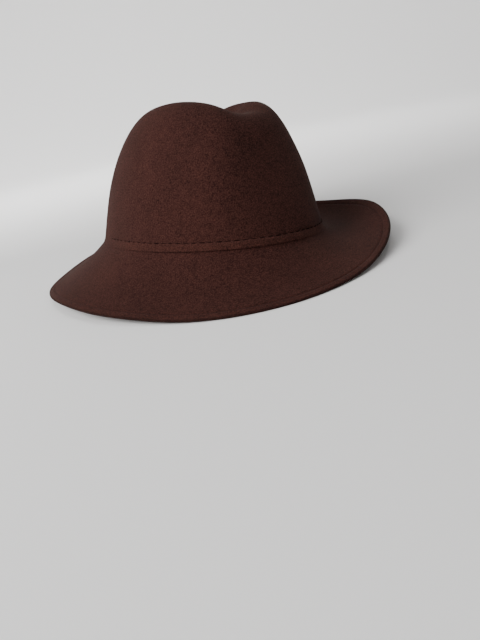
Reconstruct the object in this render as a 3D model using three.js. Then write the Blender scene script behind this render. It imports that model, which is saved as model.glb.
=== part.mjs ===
// A trilby of moulded wool felt: crown and brim are blocked from one hood, and a narrow band of the
// same felt is stitched round the foot of the crown. The brim dips at the wearer's right and rolls up
// at the left, so the hat rests on a table on the dipped edge and on the foot of its left side.
import * as THREE from "three";
import { ConvexHull } from "three/addons/math/ConvexHull.js";

// Driving sizes, in millimetres. The hat is shaped upright, with its front towards -Y and the wearer's
// left towards +X, and is then laid down on its brim.
const head_length = 203; // head opening, front to back, inside the felt
const head_width = 167; // head opening, side to side, inside the felt
const crown_height = 106; // from the brim's root to the crown's top, before the dent is pressed in
const brim_width = 54; // from the root to the edge, along the felt
const corner_depth = 4; // how far the crown's blocked corners stand out, beside its front
const felt = 2; // wall of the hood
const hem_width = 6.5; // felt turned under along the brim's edge
const hem_felt = 0.7; // what the turned felt adds to the wall after pressing
const hem_slope = 0.6; // run of the hem's pressed raw edge
const root_bend = 4; // size of the rounded corner between crown and brim
const band_width = 6; // height of the band, from the middle of the root's corner
const band_felt = 1.5; // thickness of the band
const band_gap = 0.3; // between the band and the crown
const band_round = 0.5; // rounding of the band's two outer edges
const rest_press = 0.4; // how far the felt flattens where it rests

// Crown sections, from the brim's root to the top. up is a share of crown_height, and the other
// columns are shares of the half length in front, the half length behind and the half width.
const crown_sections = [
  { up: 0.0, front: 1.0, back: 1.0, side: 1.0 },
  { up: 0.2, front: 0.92, back: 0.955, side: 0.945 },
  { up: 0.4, front: 0.832, back: 0.89, side: 0.88 },
  { up: 0.6, front: 0.748, back: 0.785, side: 0.785 },
  { up: 0.78, front: 0.68, back: 0.625, side: 0.665 },
  { up: 0.91, front: 0.59, back: 0.465, side: 0.53 },
  { up: 0.98, front: 0.455, back: 0.32, side: 0.375 },
  { up: 1.0, front: 0.23, back: 0.16, side: 0.19 },
  { up: 1.0, front: 0.0, back: 0.0, side: 0.0 },
];

// The dent along the top, from front to back. depth is a share of crown_height, and middle and
// spread are shares of the half width: where the dent lies, and how far out it has faded to a third.
const dent_sections = [
  { along: -1.0, depth: 0.0, middle: 0.0, spread: 0.2 },
  { along: -0.6, depth: 0.13, middle: -0.02, spread: 0.21 },
  { along: -0.2, depth: 0.19, middle: -0.01, spread: 0.25 },
  { along: 0.2, depth: 0.2, middle: 0.02, spread: 0.32 },
  { along: 0.6, depth: 0.1, middle: 0.02, spread: 0.3 },
  { along: 1.0, depth: 0.0, middle: 0.0, spread: 0.26 },
];

// Where the crown's front is blocked to a soft corner, on both sides: turn and spread are degrees
// from the front, and up and rise are shares of crown_height.
const corner = { turn: 31, spread: 15, up: 0.55, rise: 0.32 };

// Brim sections, at equal turns from the front round by the wearer's left. width is a share of
// brim_width, and root and edge are the felt's slopes there, in degrees above level.
const brim_sections = [
  { side: "front", width: 0.99, root: -43, edge: 2 },
  { side: "front left", width: 0.97, root: -22, edge: 55 },
  { side: "left", width: 0.98, root: -18, edge: 42 },
  { side: "back left", width: 1.0, root: -24, edge: 38 },
  { side: "back", width: 1.02, root: -38, edge: 4 },
  { side: "back right", width: 1.12, root: -47, edge: -21 },
  { side: "right", width: 1.12, root: -50, edge: -16 },
  { side: "front right", width: 1.05, root: -56, edge: -18 },
];

// How finely the surfaces are faceted.
const turns = 64; // round the hat
const crown_rings = 20; // from the top to the band's upper edge
const foot_rings = 3; // under the band
const root_rings = 4; // round the corner
const brim_rings = 9; // from the corner to the hem
const edge_rings = 3; // round the brim's edge

const full_turn = 2 * Math.PI;
const radians = THREE.MathUtils.degToRad;
const half_width = head_width / 2 + felt;
const half_length = head_length / 2 + felt;
const corner_size = Math.min(root_bend, 0.8 * (band_width - band_round)); // it ends under the band

// A table's column at a place between its rows, on a smooth curve through them. A closed table goes
// round from its last row to its first.
function between(rows, column, place, closed) {
  const row = Math.min(Math.floor(place), closed ? place : rows.length - 2);
  const pick = (i) => {
    const n = rows.length;
    return rows[closed ? (i + n) % n : Math.min(Math.max(i, 0), n - 1)][column];
  };
  const [before, start, end, after] = [row - 1, row, row + 1, row + 2].map(pick);
  const t = place - row;
  const slope_in = (end - before) / 2;
  const slope_out = (after - start) / 2;
  const bend = 3 * (end - start) - 2 * slope_in - slope_out;
  const twist = 2 * (start - end) + slope_in + slope_out;
  return start + t * (slope_in + t * (bend + t * twist));
}

// A point of the head's oval at a turn from the front, scaled by shares of its half sizes.
function oval(turn, front, back, side) {
  const reach = Math.cos(turn) > 0 ? front : back;
  return new THREE.Vector3(
    half_width * side * Math.sin(turn),
    -half_length * reach * Math.cos(turn),
    0,
  );
}

// How deep the dent in the top is at a place.
function dent(x, y) {
  const along = THREE.MathUtils.clamp(y / half_length, -1, 1);
  const place = ((along + 1) / 2) * (dent_sections.length - 1);
  const depth = crown_height * between(dent_sections, "depth", place, false);
  const middle = half_width * between(dent_sections, "middle", place, false);
  const spread = half_width * between(dent_sections, "spread", place, false);
  return depth * Math.exp(-(((x - middle) / spread) ** 2));
}

// How far the crown's corners stand out at a turn and a height.
function cornerAt(turn, up) {
  const from_front = THREE.MathUtils.radToDeg(Math.acos(Math.cos(turn)));
  const round = (from_front - corner.turn) / corner.spread;
  const rise = (up - corner.up) / corner.rise;
  return corner_depth * Math.exp(-(round ** 2) - rise ** 2);
}

// The crown's outside at a turn. place runs from 0 at the root to 1 at the top.
function crownPoint(turn, place) {
  const row = place * (crown_sections.length - 1);
  const [up, front, back, side] = ["up", "front", "back", "side"].map((column) =>
    between(crown_sections, column, row, false),
  );
  const point = oval(turn, front, back, side);
  const reach = Math.max(point.length(), 0.001);
  point.multiplyScalar(1 + (cornerAt(turn, up) * Math.min(1, reach / (head_width / 4))) / reach);
  const top = THREE.MathUtils.smoothstep(up, 0.6, 0.95);
  point.z = up * crown_height - top * dent(point.x, point.y);
  return point;
}

// The brim's top surface at a turn. run is the way along the felt from the root, in millimetres.
function brimPoint(turn, run) {
  const row = (turn / full_turn) * brim_sections.length;
  const [width, root, edge] = ["width", "root", "edge"].map((column) =>
    between(brim_sections, column, row, true),
  );
  const steps = 16;
  const outward = new THREE.Vector3(
    Math.sin(turn) / half_width,
    -Math.cos(turn) / half_length,
    0,
  ).normalize();
  const point = oval(turn, 1, 1, 1);
  for (let step = 0; step < steps; step += 1) {
    const share = ((step + 0.5) / steps) * (run / brim_width);
    const slope = radians(root + (edge - root) * share);
    const stride = (run * width) / steps;
    point.addScaledVector(outward, stride * Math.cos(slope));
    point.z += stride * Math.sin(slope);
  }
  return point;
}

// The place on the crown's sections that lies at a height over the root.
function placeAt(height) {
  const rows = crown_sections.length - 1;
  let low = 0;
  let high = 1;
  for (let step = 0; step < 30; step += 1) {
    const middle = (low + high) / 2;
    if (between(crown_sections, "up", middle * rows, false) * crown_height < height) {
      low = middle;
    } else {
      high = middle;
    }
  }
  return low;
}

// One section of the hat's outside at a turn, from the top down over the root and out to the edge.
function outline(turn) {
  const points = [];
  const seam = placeAt(band_width);
  const foot = placeAt(corner_size);
  for (let ring = 0; ring <= crown_rings; ring += 1) {
    points.push(crownPoint(turn, 1 - (1 - seam) * (ring / crown_rings)));
  }
  points.push(crownPoint(turn, placeAt(band_width - band_round)));
  for (let ring = 2; ring <= foot_rings; ring += 1) {
    points.push(crownPoint(turn, seam + (foot - seam) * (ring / foot_rings)));
  }
  const corner = new THREE.QuadraticBezierCurve3(
    points[points.length - 1],
    oval(turn, 1, 1, 1),
    brimPoint(turn, corner_size),
  );
  for (let ring = 1; ring < root_rings; ring += 1) {
    points.push(corner.getPoint(ring / root_rings));
  }
  const flat = brim_width - hem_width - corner_size;
  for (let ring = 0; ring <= brim_rings; ring += 1) {
    points.push(brimPoint(turn, corner_size + flat * (ring / brim_rings)));
  }
  points.push(brimPoint(turn, brim_width - hem_width + hem_slope));
  points.push(brimPoint(turn, brim_width - hem_width / 2));
  points.push(brimPoint(turn, brim_width - (felt + hem_felt) / 2));
  return points;
}

const sections = [];
for (let turn = 0; turn < turns; turn += 1) {
  sections.push(outline((turn / turns) * full_turn));
}
const rings = sections[0].length;

// The way out of the felt at each point of the outside, from its four neighbours.
function facing(turn, ring) {
  const at = (t, r) => sections[(t + turns) % turns][r];
  const round = at(turn + 1, ring).clone().sub(at(turn - 1, ring));
  const down = at(turn, Math.min(ring + 1, rings - 1))
    .clone()
    .sub(at(turn, Math.max(ring - 1, 0)));
  return down.cross(round).normalize();
}

// A closed body from rings of points. Each ring has one point for each turn, and an end that is a
// single point closes the body there. Without ends, the last ring joins the first.
function bodyOf(loops, start, end) {
  const positions = [];
  const index = [];
  loops.forEach((loop) => loop.forEach((point) => positions.push(...point)));
  const at = (loop, turn) => (loop % loops.length) * turns + (turn % turns);
  const joins = start ? loops.length - 1 : loops.length;
  for (let loop = 0; loop < joins; loop += 1) {
    for (let turn = 0; turn < turns; turn += 1) {
      const [a, b] = [at(loop, turn), at(loop, turn + 1)];
      const [c, d] = [at(loop + 1, turn), at(loop + 1, turn + 1)];
      index.push(a, c, b, b, c, d);
    }
  }
  if (start) {
    const [first, last] = [positions.length / 3, positions.length / 3 + 1];
    positions.push(...start, ...end);
    for (let turn = 0; turn < turns; turn += 1) {
      index.push(first, at(0, turn), at(0, turn + 1));
      index.push(last, at(loops.length - 1, turn + 1), at(loops.length - 1, turn));
    }
  }
  const geometry = new THREE.BufferGeometry();
  geometry.setAttribute("position", new THREE.Float32BufferAttribute(positions, 3));
  geometry.setIndex(index);
  return geometry;
}

const every_turn = [...Array(turns).keys()];

// The outside ring moved into the felt by a depth, or out of it by a negative one.
function sunk(ring, depth) {
  return every_turn.map((turn) =>
    sections[turn][ring].clone().addScaledVector(facing(turn, ring), -depth),
  );
}

// Crown and brim in one: the outside from the top down and out, the rounded edge, and the inside
// back to the top. The hem makes the wall thicker along the edge.
function feltBody() {
  const hem_ring = rings - 3;
  const hem = felt + hem_felt;
  const loops = [];
  for (let ring = 1; ring < rings; ring += 1) {
    loops.push(sunk(ring, 0));
  }
  for (let ring = 1; ring <= edge_rings; ring += 1) {
    const angle = (Math.PI * ring) / (edge_rings + 1);
    loops.push(
      every_turn.map((turn) => {
        const [before, last] = sections[turn].slice(-2);
        const outward = last.clone().sub(before).normalize();
        return last
          .clone()
          .addScaledVector(facing(turn, rings - 1), (-hem / 2) * (1 - Math.cos(angle)))
          .addScaledVector(outward, (hem / 2) * Math.sin(angle));
      }),
    );
  }
  for (let ring = rings - 1; ring > 0; ring -= 1) {
    loops.push(sunk(ring, ring >= hem_ring ? hem : felt));
  }
  const top = sections[0][0].clone();
  return bodyOf(loops, top, top.clone().setZ(top.z - felt));
}

// The band lies on the crown from the seam down to the middle of the root's corner.
function band() {
  const first = crown_rings;
  const last = crown_rings + foot_rings + root_rings / 2;
  const outside = band_gap + band_felt;
  const loops = [sunk(first, -band_gap), sunk(first, band_round - outside)];
  for (let ring = first + 1; ring < last; ring += 1) {
    loops.push(sunk(ring, -outside));
  }
  loops.push(sunk(last, band_round - outside), sunk(last, -band_gap));
  for (let ring = last - 1; ring > first; ring -= 1) {
    loops.push(sunk(ring, -band_gap));
  }
  return bodyOf(loops);
}

// The face of the pieces' hull that they come to rest on: of the faces that look down, the one that
// lies closest under the centre of mass.
function restingFace(geometries) {
  const points = [];
  const centre = new THREE.Vector3();
  let volume = 0;
  geometries.forEach((geometry) => {
    const positions = geometry.getAttribute("position");
    const corner = (i) => new THREE.Vector3().fromBufferAttribute(positions, geometry.index.getX(i));
    for (let i = 0; i < geometry.index.count; i += 3) {
      const [a, b, c] = [corner(i), corner(i + 1), corner(i + 2)];
      const share = a.dot(b.clone().cross(c)) / 6;
      volume += share;
      centre.addScaledVector(a.clone().add(b).add(c), share / 4);
      points.push(a, b, c);
    }
  });
  centre.divideScalar(volume);
  const hull = new ConvexHull().setFromPoints(points);
  const below = (face) => face.constant - face.normal.dot(centre);
  return hull.faces
    .filter((face) => face.normal.z < -0.5)
    .reduce((best, face) => (below(face) < below(best) ? face : best));
}

// The pieces laid on the table at z = 0, with the felt pressed flat where it rests, and the origin
// under the middle of the box around them.
function layDown(geometries) {
  const face = restingFace(geometries);
  const turn = new THREE.Quaternion().setFromUnitVectors(face.normal, new THREE.Vector3(0, 0, -1));
  const box = new THREE.Box3();
  geometries.forEach((geometry) => {
    geometry.applyQuaternion(turn);
    geometry.translate(0, 0, face.constant - rest_press);
    const positions = geometry.getAttribute("position");
    for (let i = 0; i < positions.count; i += 1) {
      positions.setZ(i, Math.max(positions.getZ(i), 0));
    }
    geometry.computeBoundingBox();
    box.union(geometry.boundingBox);
  });
  const middle = box.getCenter(new THREE.Vector3());
  geometries.forEach((geometry) => geometry.translate(-middle.x, -middle.y, 0));
}

function meshOf(name, geometry, color) {
  const material = new THREE.MeshStandardMaterial({ color, roughness: 1, metalness: 0 });
  const mesh = new THREE.Mesh(geometry, material);
  mesh.name = name;
  return mesh;
}

const felt_geometry = feltBody();
const band_geometry = band();
layDown([felt_geometry, band_geometry]);

const hat = new THREE.Group();
hat.name = "trilby";
hat.add(meshOf("felt_body", felt_geometry, 0x4a2c26));
hat.add(meshOf("band", band_geometry, 0x502f29));

export default hat;
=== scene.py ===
# %% [markdown]
# A trilby of brushed wool felt
#
# The hat is plain: a crown and brim blocked in one piece from a felt hood, and a narrow band of the
# same felt stitched round the foot of the crown. It rests on the floor as it does by itself, on the
# dipped front and back of its right brim and on the foot of its left side. The hat's sizes and
# place come from the model that is loaded here, and this lesson gives its felt, hem, band and
# stitches the detail that shows from close by. All lengths are in metres.

# %% The frame
import math
import random

import bmesh
import bpy
import numpy as np
from mathutils import Matrix, Vector, noise


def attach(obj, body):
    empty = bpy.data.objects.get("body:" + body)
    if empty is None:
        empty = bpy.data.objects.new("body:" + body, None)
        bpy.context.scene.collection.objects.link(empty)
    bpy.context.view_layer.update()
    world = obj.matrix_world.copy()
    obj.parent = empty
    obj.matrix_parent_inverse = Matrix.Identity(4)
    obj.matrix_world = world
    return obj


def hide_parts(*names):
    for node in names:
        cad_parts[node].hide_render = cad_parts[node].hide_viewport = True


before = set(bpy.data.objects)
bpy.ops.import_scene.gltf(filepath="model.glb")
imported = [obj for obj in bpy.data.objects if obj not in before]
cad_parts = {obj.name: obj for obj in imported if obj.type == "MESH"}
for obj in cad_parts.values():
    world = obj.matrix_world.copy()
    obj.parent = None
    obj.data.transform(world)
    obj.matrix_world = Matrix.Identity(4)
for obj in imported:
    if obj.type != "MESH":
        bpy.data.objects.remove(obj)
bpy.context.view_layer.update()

mm = 0.001
felt_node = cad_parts["felt_body"]

# %% [markdown]
# ## The camera
#
# The photograph looks a little down at the hat's front, from the wearer's right, and the hat leans
# in it. A camera at the same place round the hat, with the same lens, needs no shift: its place and
# turn alone put the hat where it is in the picture. The lens is 481 pixels long in a picture
# that is 640 pixels high, and Blender's sensor is measured along the picture's longer side.

# %% Camera
camera_place = Vector((-235.43, -339.10, 121.50)) * mm
camera_turn = (64.803, 11.072, -41.333)
lens_in_pixels = 481
picture_height = 640
sensor = 36
nearest_seen = 0.01
farthest_seen = 30

camera_data = bpy.data.cameras.new("camera")
camera_data.sensor_width = sensor
camera_data.lens = sensor * lens_in_pixels / picture_height
camera_data.clip_start = nearest_seen
camera_data.clip_end = farthest_seen
camera = bpy.data.objects.new("camera", camera_data)
camera.location = camera_place
camera.rotation_euler = [math.radians(angle) for angle in camera_turn]
bpy.context.scene.collection.objects.link(camera)
bpy.context.scene.camera = camera
print("lens in mm", round(camera_data.lens, 2))

# %% [markdown]
# ## Helpers for meshes
#
# Each piece starts from a copy of the model's own solid, so it lies exactly where the solid does.
# The copy comes as loose triangles. They are merged and joined to four-sided faces first, because a
# subdivision surface is smooth only on a closed mesh of neat quads.

# %% A merged copy
same_place = 0.001 * mm  # corners that are closer than this are one corner


def merged_copy(node):
    mesh = bmesh.new()
    mesh.from_mesh(node.data)
    bmesh.ops.remove_doubles(mesh, verts=mesh.verts, dist=same_place)
    open_edges = sum(1 for edge in mesh.edges if not edge.is_manifold)
    print(node.name, len(mesh.faces), "triangles,", open_edges, "open edges")
    return mesh


# %% Quads from the strips of triangles between two rings of points
def next_ring(ring, strip, diagonals):
    """The ring that follows, in the same order round the hat; the strip's diagonals are collected."""
    neighbours = [{edge.other_vert(vertex) for edge in vertex.link_edges} for vertex in ring]
    ahead = [
        next(v for v in near & near_next if v in strip)
        for near, near_next in zip(neighbours, neighbours[1:] + neighbours[:1])
    ]
    behind = ahead[-1:] + ahead[:-1]
    reach = [sum((v.co - w.co).length for v, w in zip(ring, row)) for row in (ahead, behind)]
    straight, slanted = (ahead, behind) if reach[0] < reach[1] else (behind, ahead)
    for vertex, other in zip(ring, slanted):
        diagonals.append(next(e for e in vertex.link_edges if e.other_vert(vertex) is other))
    return straight


# %% A piece from a bmesh, subdivided and smooth
def piece_of(name, mesh, levels):
    data = bpy.data.meshes.new(name)
    mesh.to_mesh(data)
    mesh.free()
    piece = bpy.data.objects.new(name, data)
    bpy.context.scene.collection.objects.link(piece)
    if levels:
        smooth = piece.modifiers.new("subdivision", "SUBSURF")
        smooth.levels = levels
        smooth.render_levels = levels
        scene_now = bpy.context.evaluated_depsgraph_get()
        piece.data = bpy.data.meshes.new_from_object(piece.evaluated_get(scene_now))
        piece.data.name = name
        piece.modifiers.clear()
    piece.data.shade_smooth()
    return piece


# %% The numbers of a mesh as columns, and back
def column(mesh_data, layer):
    values = np.zeros(len(mesh_data.vertices), np.float32)
    mesh_data.attributes[layer].data.foreach_get("value", values)
    return values.astype(float)


def places(mesh_data):
    found = np.zeros(len(mesh_data.vertices) * 3, np.float32)
    mesh_data.vertices.foreach_get("co", found)
    return found.reshape(-1, 3).astype(float)


def normals(mesh_data):
    found = np.zeros(len(mesh_data.vertices) * 3, np.float32)
    mesh_data.vertex_normals.foreach_get("vector", found)
    return found.reshape(-1, 3).astype(float)


def put_places(mesh_data, points):
    mesh_data.vertices.foreach_set("co", points.astype(np.float32).ravel())
    mesh_data.update()


# %% [markdown]
# ## Helpers for materials
#
# A colour is written as the hex value that a picture program shows, and is turned to linear light
# once, because the shader works in linear light.

# %% Colours, nodes and materials
def colour(hex_value):
    parts = [int(hex_value[i : i + 2], 16) / 255 for i in (1, 3, 5)]
    linear = [p / 12.92 if p <= 0.04045 else ((p + 0.055) / 1.055) ** 2.4 for p in parts]
    return (*linear, 1.0)


def add_node(tree, kind, settings=None, inputs=None):
    made = tree.nodes.new(kind)
    for key, value in (settings or {}).items():
        setattr(made, key, value)
    for key, value in (inputs or {}).items():
        if isinstance(value, bpy.types.NodeSocket):
            tree.links.new(value, made.inputs[key])
        else:
            made.inputs[key].default_value = value
    return made


def new_material(name, values):
    material = bpy.data.materials.new(name)
    material.use_nodes = True
    shader = material.node_tree.nodes["Principled BSDF"]
    for key, value in values.items():
        shader.inputs[key].default_value = value
    return material


# %% [markdown]
# ## The felt body
#
# Crown and brim are one felt hood, steamed and pressed on a block, so they are one mesh here too. The
# solid already has the hat's form and wall. What it lacks is what hands and steam leave behind: the
# surface is never quite even, a few places are pushed out or in by some millimetres, and the brim's
# turned hem shows as a shallow line on top where it is stitched down. The hem's line and the seam's
# line follow the felt, so the mesh first learns how far each of its points is from the brim's edge,
# measured along the felt.

# %% Rings from the crown's top, out over the brim's edge and back to the top inside
pole_spokes = 30  # only the two points at the crown's top, outside and inside, have more edges

felt_mesh = merged_copy(felt_node)
from_edge = felt_mesh.verts.layers.float.new("from_edge")
outside = felt_mesh.verts.layers.float.new("outside")
felt_mesh.verts.ensure_lookup_table()
poles = [vertex for vertex in felt_mesh.verts if len(vertex.link_edges) > pole_spokes]
poles.sort(key=lambda vertex: -vertex.co.z)
first_spoke = poles[0].link_loops[0]
ring = []
loop = first_spoke
while not ring or loop is not first_spoke:
    ring.append(loop.link_loop_next.vert)
    loop = loop.link_loop_prev.link_loop_radial_next
rings = [ring]
seen = {poles[0], *ring}
diagonals = []
while True:
    strip = {e.other_vert(v) for v in ring for e in v.link_edges} - seen
    if strip == {poles[1]} or not strip:
        break
    ring = next_ring(ring, strip, diagonals)
    rings.append(ring)
    seen.update(ring)
bmesh.ops.dissolve_edges(felt_mesh, edges=diagonals, use_verts=False, use_face_split=False)
print(len(rings), "rings of", len(ring), "points,", len(felt_mesh.faces), "faces")

# %% Distance from the brim's edge along the felt
edge_ring = max(range(len(rings)), key=lambda number: sum(v.co.xy.length for v in rings[number]))
for number, ring in enumerate(rings):
    for vertex in ring:
        vertex[outside] = 1.0 if number <= edge_ring else 0.0
for order in (range(edge_ring - 1, -1, -1), range(edge_ring + 1, len(rings))):
    for number in order:
        towards_edge = rings[number + 1] if number < edge_ring else rings[number - 1]
        for vertex, other in zip(rings[number], towards_edge):
            vertex[from_edge] = other[from_edge] + (vertex.co - other.co).length
poles[0][outside] = 1.0
for pole, ring in ((poles[0], rings[0]), (poles[1], rings[-1])):
    pole[from_edge] = ring[0][from_edge] + (pole.co - ring[0].co).length
print("from the edge to the top along the felt, mm:", round(poles[0][from_edge] / mm, 1))

# %% The band's strip, copied before the body is closed
seam_ring = 19  # the ring that the band's upper edge and its stitches follow
corner_ring = 24  # the ring in the middle of the rounded corner between crown and brim
seam_points = [vertex.co.copy() for vertex in rings[seam_ring]]
seam_ways_out = [vertex.normal.copy() for vertex in rings[seam_ring]]
seam_distance = rings[seam_ring][0][from_edge]
felt_mesh.verts.index_update()
strip_rows = [[vertex.index for vertex in ring] for ring in rings[seam_ring : corner_ring + 1]]
strip_mesh = felt_mesh.copy()

# %% Finer rows beside the seam and the hem, where the felt is drawn in
hem_ring = 35  # the last ring before the hem's turned felt
finer_rows = 2
crossing = [
    next(edge for edge in upper.link_edges if edge.other_vert(upper) is lower)
    for number in (seam_ring - 1, hem_ring - 1)
    for upper, lower in zip(rings[number], rings[number + 1])
]
bmesh.ops.subdivide_edges(felt_mesh, edges=crossing, cuts=finer_rows, use_grid_fill=True)

# %% The felt body's surface
smooth_levels = 2
felt_body = piece_of("felt_hood", felt_mesh, smooth_levels)
print("felt body triangles", 2 * len(felt_body.data.polygons))

# %% Small unevenness, the hem's stitched line and the seam's line
uneven = 0.35 * mm  # how far steam and hands leave the felt from true
uneven_size = 48 * mm
uneven_seed = 7  # the noise starts from the clock without one, and differs from run to run
groove_from_edge = 6.7 * mm
groove_depth = 0.4 * mm
groove_half_width = 0.8 * mm
seam_depth = 0.35 * mm
seam_half_width = 0.9 * mm
rest_height = 1 * mm  # felt below this lies on the floor, and keeps its height
worked_places = (  # middle, reach and push in mm, where a hand has worked the felt
    ((14, -66, 100), 15, (0, 0, 5)),  # the front rim of the crown's dent, pushed up
    ((29, -20, 111), 15, (0, 0, -3)),  # the left hump's side towards the dent, pressed down
    ((-120, 68, 3), 48, (-3, 1.5, 0.5)),  # the right brim's far part, drawn out a little
    ((-122, -58, 5), 50, (1.2, 1.6, 0)),  # its near part, drawn in
)

points = places(felt_body.data)
ways_out = normals(felt_body.data)
edge_distance = column(felt_body.data, "from_edge")
is_outside = column(felt_body.data, "outside") > 0.5
noise.seed_set(uneven_seed)
drift = np.array([noise.noise_vector(Vector(p) / uneven_size) for p in points])
moved = points + uneven * drift
for middle, reach, push in worked_places:
    away = np.linalg.norm(points - np.array(middle) * mm, axis=1)
    moved += np.exp(-((away / (reach * mm)) ** 2))[:, None] * np.array(push) * mm
groove = np.exp(-(((edge_distance - groove_from_edge) / groove_half_width) ** 2))
seam = np.exp(-(((edge_distance - seam_distance) / seam_half_width) ** 2))
drawn_in = groove_depth * groove + seam_depth * seam
moved -= ways_out * (drawn_in * is_outside)[:, None]
moved[:, 2] = np.where(points[:, 2] < rest_height, points[:, 2], moved[:, 2])
moved[:, 2] = np.maximum(moved[:, 2], 0.0)
put_places(felt_body.data, moved)

# %% [markdown]
# ## The band
#
# A strip of the same felt is stitched round the foot of the crown. Its stitches pull the upper edge
# tight to the crown. The lower edge stands free above the brim at the hat's front right, where it
# shows as a crisp line, and lies nearly flat on the other sides. The strip starts as the crown's own
# faces, which are lifted and closed to a slab with one extrusion.

# %% The band's surface
band_under = 0.05 * mm  # how close the strip lies to the crown
band_top = 0.15 * mm  # its outside over the crown, at the stitches
band_foot = 0.12 * mm  # and at its lower edge, where that lies flat
band_loose = 1.2 * mm  # what is added where the lower edge stands free, at the hat's front right
loose_way = Vector((-0.5, -0.87, 0.0))
loose_narrow = 3  # the higher, the shorter the stretch that stands free
foot_row = 3  # the row of points where the strip has reached its full lift
foot_curve = 0.8

strip_mesh.verts.ensure_lookup_table()
rows = [[strip_mesh.verts[index] for index in row] for row in strip_rows]
lift = {}
for row, ring in enumerate(rows):
    share = min(1, row / foot_row) ** foot_curve
    for vertex in ring:
        loose = max(0.0, vertex.normal.xy.normalized().dot(loose_way.xy)) ** loose_narrow
        foot = band_foot + band_loose * loose
        lift[vertex] = vertex.normal * (band_top + (foot - band_top) * share)
lowered = {vertex: vertex.normal * band_under for vertex in lift}
others = [vertex for vertex in strip_mesh.verts if vertex not in lift]
bmesh.ops.delete(strip_mesh, geom=others, context="VERTS")
extruded = bmesh.ops.extrude_face_region(strip_mesh, geom=strip_mesh.faces[:], use_keep_orig=True)
lifted = [v for v in extruded["geom"] if isinstance(v, bmesh.types.BMVert)]
under = {tuple(v.co): v for v in lift}
for vertex in lifted:
    vertex.co += lift[under[tuple(vertex.co)]]
for vertex, way in lowered.items():
    vertex.co += way
bmesh.ops.recalc_face_normals(strip_mesh, faces=strip_mesh.faces)
band = piece_of("felt_band", strip_mesh, smooth_levels)
print("band triangles", 2 * len(band.data.polygons))

# %% [markdown]
# ## The stitches
#
# One row of dark thread holds the band. Each stitch shows as a short dash that dives into the felt at
# both ends, so a thin stretched ball is the right form for it, and a few dozen faces are enough. On
# the hat's right side the thread is drawn in deeper, and shows less.

# %% Even steps along the seam
stitch_step = 6.0 * mm
stitch_length = 4.7 * mm
stitch_thick = 0.75 * mm
stitch_share = (0.88, 1.1)  # no two stitches are equally long
stitch_tilt = 0.05  # and none lies quite along the seam
stitch_out = (0.0, 0.3 * mm)  # some stitches sink into the felt more than others
stitch_sunk = 0.32 * mm  # how much deeper the thread is drawn in, on the hat's right side
sunk_way = Vector((-0.81, 0.59, 0.0))
stitch_seed = 7

spans = [(seam_points[i] - seam_points[i - 1]).length for i in range(len(seam_points))]
seam_length = sum(spans)
stitch_count = round(seam_length / stitch_step)
print("seam", round(seam_length / mm), "mm,", stitch_count, "stitches")


def on_seam(distance):
    """The place, the way along and the way out, at a distance along the seam."""
    reached = 0.0
    for i, span in enumerate(spans):
        if reached + span >= distance:
            share = (distance - reached) / span
            return (
                seam_points[i - 1].lerp(seam_points[i], share),
                (seam_points[i] - seam_points[i - 1]).normalized(),
                seam_ways_out[i - 1].lerp(seam_ways_out[i], share).normalized(),
            )
        reached += span
    return on_seam(distance - seam_length)


# %% The row of stitches
hand = random.Random(stitch_seed)
stitch_mesh = bmesh.new()
for number in range(stitch_count):
    middle, along, way_out = on_seam(seam_length * (number + 0.5) / stitch_count)
    along = (along - way_out * along.dot(way_out)).normalized()
    tilt = hand.uniform(-stitch_tilt, stitch_tilt)
    along = (along + tilt * way_out.cross(along)).normalized()
    across = way_out.cross(along)
    length = stitch_length * hand.uniform(*stitch_share)
    sunk = stitch_sunk * max(0.0, way_out.dot(sunk_way))
    place = Matrix.Translation(middle + way_out * (hand.uniform(*stitch_out) - sunk))
    turn = Matrix((along, way_out, across)).transposed().to_4x4()
    size = Matrix.Diagonal((length / 2, stitch_thick / 2, stitch_thick / 2, 1))
    bmesh.ops.create_uvsphere(
        stitch_mesh, u_segments=6, v_segments=8, radius=1, matrix=place @ turn @ size
    )
stitches = piece_of("band_stitches", stitch_mesh, 0)
print("stitch triangles", sum(len(face.vertices) - 2 for face in stitches.data.polygons))

# %% [markdown]
# ## Wool felt
#
# Wool felt is a mat of crimped fibres without a weave. It takes dye a little unevenly, so its colour
# is mottled at the size of a tuft, and its brushed nap scatters light back at grazing angles, which
# lightens every contour. The fibres are about 0.02 mm thick, far too fine to show here, so the
# nap's pattern is drawn about a millimetre across. The brim's pressed edge and the line where its
# hem is stitched down are painted darker than the rest. This is painted shade, for the edge's face
# that turns down from the light and for the hem's shallow groove.

# %% The felt's sizes and shades
tuft_size = 0.9 * mm
clump_size = 4.5 * mm
patch_size = 38 * mm
fibre_size = 1.0 * mm  # coarser than a fibre, see above
clump_weight = 0.12  # beside the tufts, which weigh 1
patch_weight = 0.15
darkest_at = 0.42
lightest_at = 0.85
nap_height = 0.25 * mm
nap_strength = 0.5
edge_zone = 10 * mm
# The felt is painted darker at the brim's edge and along the hem's line: painted shade.
painted_shade_by_edge = (  # distance from the edge, and the share of the felt's colour there
    (0.0 * mm, 0.5),
    (1.1 * mm, 0.5),
    (2.0 * mm, 1.0),
    (5.9 * mm, 1.0),
    (6.7 * mm, 0.72),
    (7.5 * mm, 0.95),
)


# %% The parts of the felt's pattern
def mottling(tree, place, size, detail, roughness, distortion=0.0):
    """A cloudy pattern whose clouds have the size given."""
    inputs = {
        "Vector": place,
        "Scale": 1 / size,
        "Detail": detail,
        "Roughness": roughness,
        "Distortion": distortion,
    }
    return add_node(tree, "ShaderNodeTexNoise", inputs=inputs).outputs["Fac"]


def weighed(tree, pattern, weight, rest):
    """A pattern times its weight, added to the rest."""
    settings = {"operation": "MULTIPLY_ADD"}
    return add_node(tree, "ShaderNodeMath", settings, {0: pattern, 1: weight, 2: rest}).outputs[0]


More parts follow.
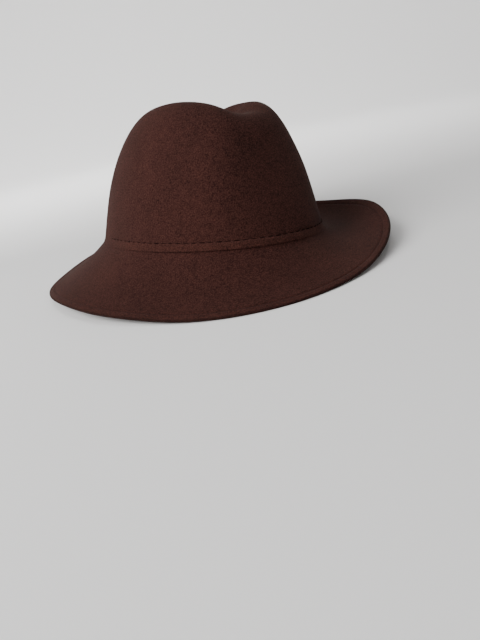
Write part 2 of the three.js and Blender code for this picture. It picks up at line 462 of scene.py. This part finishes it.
def painted_shade_at_edge(tree):
    """Painted shade near the brim's edge and hem line, as a share of the felt's colour."""
    distance = add_node(tree, "ShaderNodeAttribute", {"attribute_name": "from_edge"})
    settings = {"operation": "MULTIPLY"}
    inputs = {0: distance.outputs["Fac"], 1: 1 / edge_zone}
    share = add_node(tree, "ShaderNodeMath", settings, inputs)
    ramp = add_node(tree, "ShaderNodeValToRGB", inputs={"Fac": share.outputs[0]})
    stops = ramp.color_ramp.elements
    while len(stops) < len(painted_shade_by_edge):
        stops.new(painted_shade_by_edge[len(stops)][0] / edge_zone)
    for stop, (from_there, shade) in zip(stops, painted_shade_by_edge):
        stop.position = from_there / edge_zone
        stop.color = (shade, shade, shade, 1.0)
    return ramp.outputs["Color"]


# %% A material of brushed wool felt
felt_finish = {
    "Roughness": 0.95,
    "IOR": 1.5,
    "Specular IOR Level": 0.1,
    "Sheen Weight": 0.06,
    "Sheen Roughness": 0.5,
    "Sheen Tint": colour("#c0a498"),
}


def wool_felt(name, dark, light):
    material = new_material(name, felt_finish)
    tree = material.node_tree
    shader = tree.nodes["Principled BSDF"]
    place = add_node(tree, "ShaderNodeTexCoord").outputs["Object"]
    tufts = mottling(tree, place, tuft_size, 2, 0.6)
    clumps = mottling(tree, place, clump_size, 2, 0.5)
    patches = mottling(tree, place, patch_size, 2, 0.5)
    fibres = mottling(tree, place, fibre_size, 3, 0.6, distortion=1.6)
    clumped = weighed(tree, clumps, clump_weight, tufts)
    blend = weighed(tree, patches, patch_weight, clumped)
    ramp = add_node(tree, "ShaderNodeValToRGB", inputs={"Fac": blend})
    for stop, position, shade in zip(
        ramp.color_ramp.elements, (darkest_at, lightest_at), (dark, light)
    ):
        stop.position = position
        stop.color = colour(shade)
    # The felt's colour times the painted shade near the brim's edge and hem line.
    shaded = add_node(
        tree,
        "ShaderNodeMix",
        {"data_type": "RGBA", "blend_type": "MULTIPLY"},
        {0: 1.0, 6: ramp.outputs["Color"], 7: painted_shade_at_edge(tree)},
    )
    tree.links.new(shaded.outputs[2], shader.inputs["Base Color"])
    nap = add_node(
        tree,
        "ShaderNodeBump",
        inputs={"Strength": nap_strength, "Distance": nap_height, "Height": fibres},
    )
    tree.links.new(nap.outputs["Normal"], shader.inputs["Normal"])
    return material


hood_felt = wool_felt("brushed wool felt of the hood", "#180908", "#482923")
# The band's felt is the hood's felt painted a little lighter: painted light, for a strip that catches
# more light than the crown above it.
band_felt = wool_felt("brushed wool felt of the band", "#1b0b09", "#4c2c25")
felt_body.data.materials.append(hood_felt)
band.data.materials.append(band_felt)

# %% [markdown]
# ## Stitching thread
#
# The thread is dark brown cotton, darker and duller than the felt. Its plies are too fine to show at
# this distance, so one matte colour is enough.

# %% Stitching thread
thread = new_material(
    "dark brown cotton thread",
    {"Base Color": colour("#120604"), "Roughness": 0.9, "Specular IOR Level": 0.05},
)
stitches.data.materials.append(thread)

# %% The felt pieces ride on the hat
for piece, slot in ((felt_body, "felt"), (band, "band_felt"), (stitches, "band_felt")):
    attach(piece, "root")
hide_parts("felt_body")
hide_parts("band")

# %% [markdown]
# ## Floor and backdrop
#
# The hat lies on a pale, even ground with no horizon. A round sweep gives that from every side: a
# flat disc whose rim rises in one soft curve. It is spun from its profile.

# %% A round sweep
floor_radius = 1.3
sweep_radius = 1.3
curve_steps = 12
turn_steps = 96
seam_reach = 0.1 * mm  # the spin's first and last corners are closer than this

profile = bmesh.new()
row = [profile.verts.new((0, 0, 0))]
for step in range(curve_steps + 1):
    angle = math.radians(90 * step / curve_steps)
    across = floor_radius + sweep_radius * math.sin(angle)
    row.append(profile.verts.new((across, 0, sweep_radius * (1 - math.cos(angle)))))
edges = [profile.edges.new(pair) for pair in zip(row, row[1:])]
bmesh.ops.spin(
    profile,
    geom=[*row, *edges],
    cent=(0, 0, 0),
    axis=(0, 0, 1),
    angle=2 * math.pi,
    steps=turn_steps,
    use_merge=True,
)
bmesh.ops.remove_doubles(profile, verts=profile.verts, dist=seam_reach)
bmesh.ops.recalc_face_normals(profile, faces=profile.faces)
floor = piece_of("floor", profile, 0)

# %% [markdown]
# ## Paint of the sweep
#
# The sweep has one coat of matte paint. It shows no highlight and no grain, so one plain rough colour
# stands for it.

# %% Matte paint of the sweep
paint = new_material("matte warm white paint", {"Base Color": colour("#f2f1f0"), "Roughness": 0.9})
floor.data.materials.append(paint)

# %% [markdown]
# ## Light
#
# One large soft light stands on the picture's left, a weak one hangs above the hat, and the pale room
# fills the shadows. So the crown's left side is light, its right side dark, and its shadow falls
# softly on the far brim. Two more lights hang behind the hat, turned away from it, and brighten the
# backdrop, more on the left.

# %% A soft round light
def soft_light(name, place, aim, size, power):
    data = bpy.data.lights.new(name, "AREA")
    data.shape = "DISK"
    data.size = size
    data.energy = power
    light = bpy.data.objects.new(name, data)
    light.location = place
    light.rotation_euler = (aim - place).to_track_quat("-Z", "Y").to_euler()
    bpy.context.scene.collection.objects.link(light)


# %% Lights on the hat
view_ahead = Vector((0.591, 0.807, 0))
view_right = Vector((0.807, -0.591, 0))
hat_middle = Vector((0, 0, 0.06))
hat_light_distance = 1.6
hat_light_size = 1.2


def way_from_hat(turn, rise):
    """Towards a light, by its turn round from the camera and its rise, in degrees."""
    turn, rise = math.radians(turn), math.radians(rise)
    level = view_right * math.sin(turn) - view_ahead * math.cos(turn)
    return level * math.cos(rise) + Vector((0, 0, math.sin(rise)))


for name, turn, rise, power in (("key", -61, 35, 35), ("top", 0, 88, 7)):
    place = hat_middle + way_from_hat(turn, rise) * hat_light_distance
    soft_light(name, place, hat_middle, hat_light_size, power)

# %% Lights on the backdrop
wall_light_ahead = 0.5
wall_light_height = Vector((0, 0, 1.0))
wall_light_drop = Vector((0, 0, 0.36))  # how far the light's middle falls in a metre
wall_light_size = 0.7

for name, aside, power in (("wall_left", -0.45, 26), ("wall_right", 0.45, 11)):
    place = view_ahead * wall_light_ahead + view_right * aside + wall_light_height
    soft_light(name, place, place + view_ahead - wall_light_drop, wall_light_size, power)

# %% The pale room
room_strength = 0.17
room = bpy.data.worlds.new("room")
room.use_nodes = True
room.node_tree.nodes["Background"].inputs["Color"].default_value = colour("#ffffff")
room.node_tree.nodes["Background"].inputs["Strength"].default_value = room_strength
bpy.context.scene.world = room
